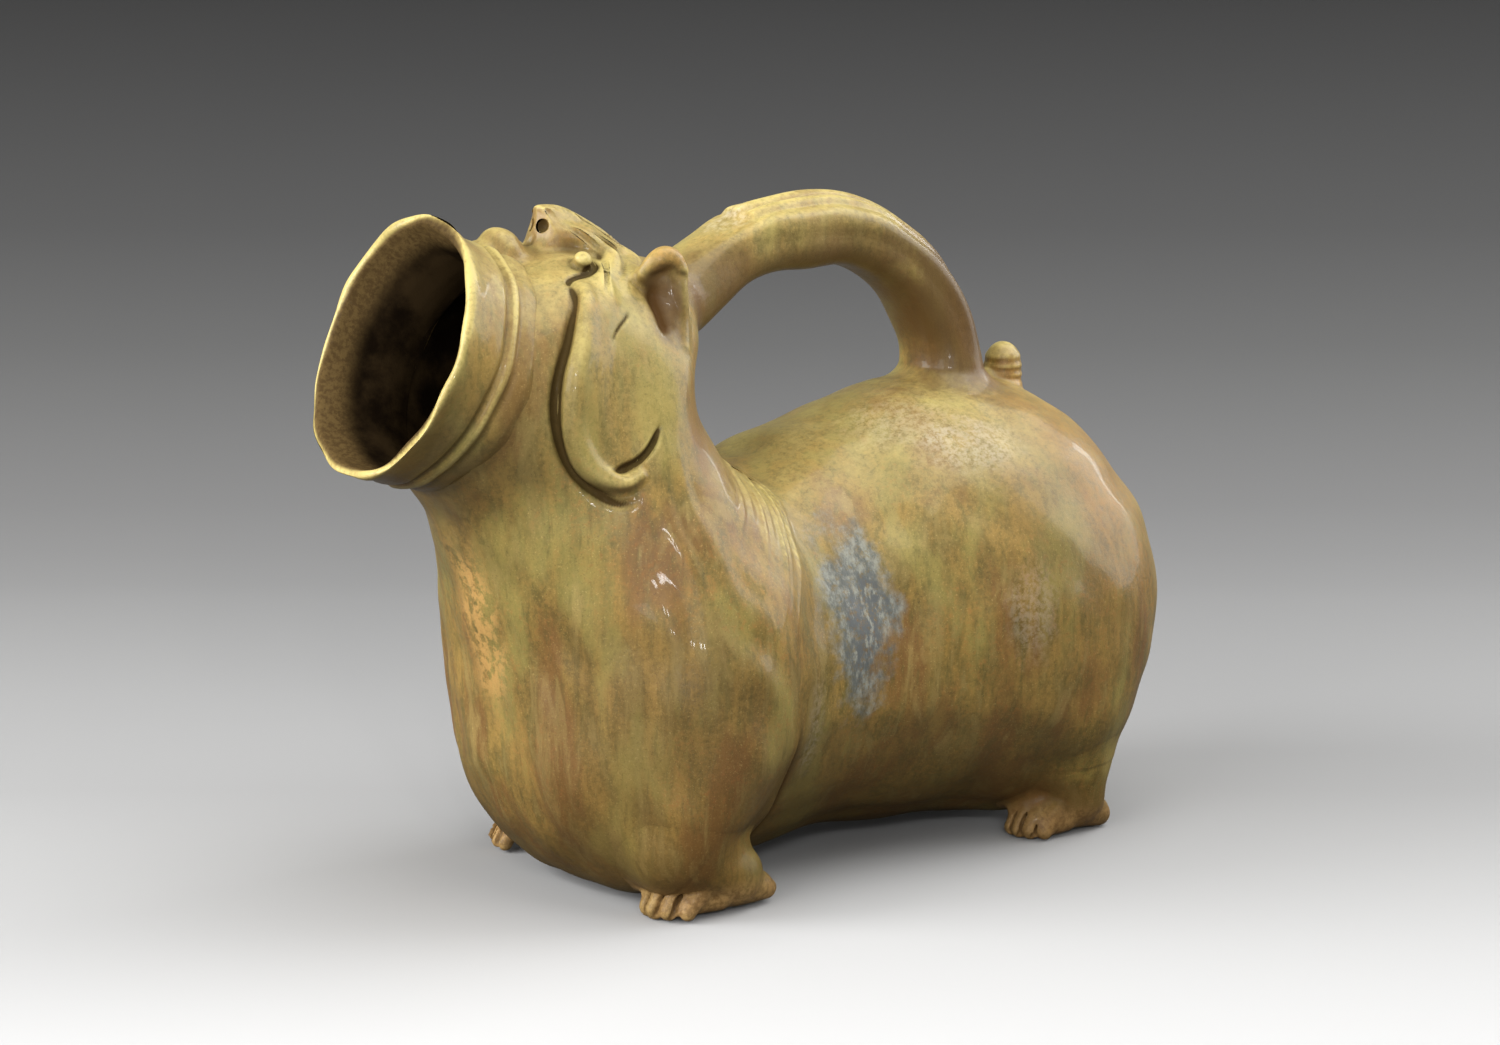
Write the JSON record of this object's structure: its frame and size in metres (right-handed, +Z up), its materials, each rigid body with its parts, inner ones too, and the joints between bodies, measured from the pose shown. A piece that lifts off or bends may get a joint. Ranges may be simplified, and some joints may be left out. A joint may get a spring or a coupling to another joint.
{
  "type": "animal-shaped spouted vessel",
  "caption": "Glazed stoneware vessel shaped as a crouching animal, with a waisted body on paws, a wide round spout for a mouth and an arched handle over the back.",
  "frame": {"origin": "on the floor, under the middle of the overall box", "axes": "+Z up; the spout faces -X and the tail +X; the animal's left is -Y"},
  "size_m": [0.2398, 0.1148, 0.1754],
  "materials": {
    "glaze": "glossy, mottled olive to amber",
    "pale_glaze": "glossy, thinner and paler where it ran off edges",
    "thin_glaze": "thin satin glaze over buff clay"
  },
  "bodies": {
    "root": {"rear_chamber": "glaze", "front_chamber": "glaze", "spout": "pale_glaze", "handle": "pale_glaze", "handle_crest_strip": "pale_glaze", "tail_knob": "pale_glaze", "brow_crest": "pale_glaze", "nose_knob": "pale_glaze", "foot_front_left": "thin_glaze", "foot_rear_left": "thin_glaze", "ear_left": "pale_glaze", "cheek_ridge_left": "pale_glaze", "eye_left": "pale_glaze", "foot_front_right": "thin_glaze", "foot_rear_right": "thin_glaze", "ear_right": "pale_glaze", "cheek_ridge_right": "pale_glaze", "eye_right": "pale_glaze"}
  },
  "joints": []
}
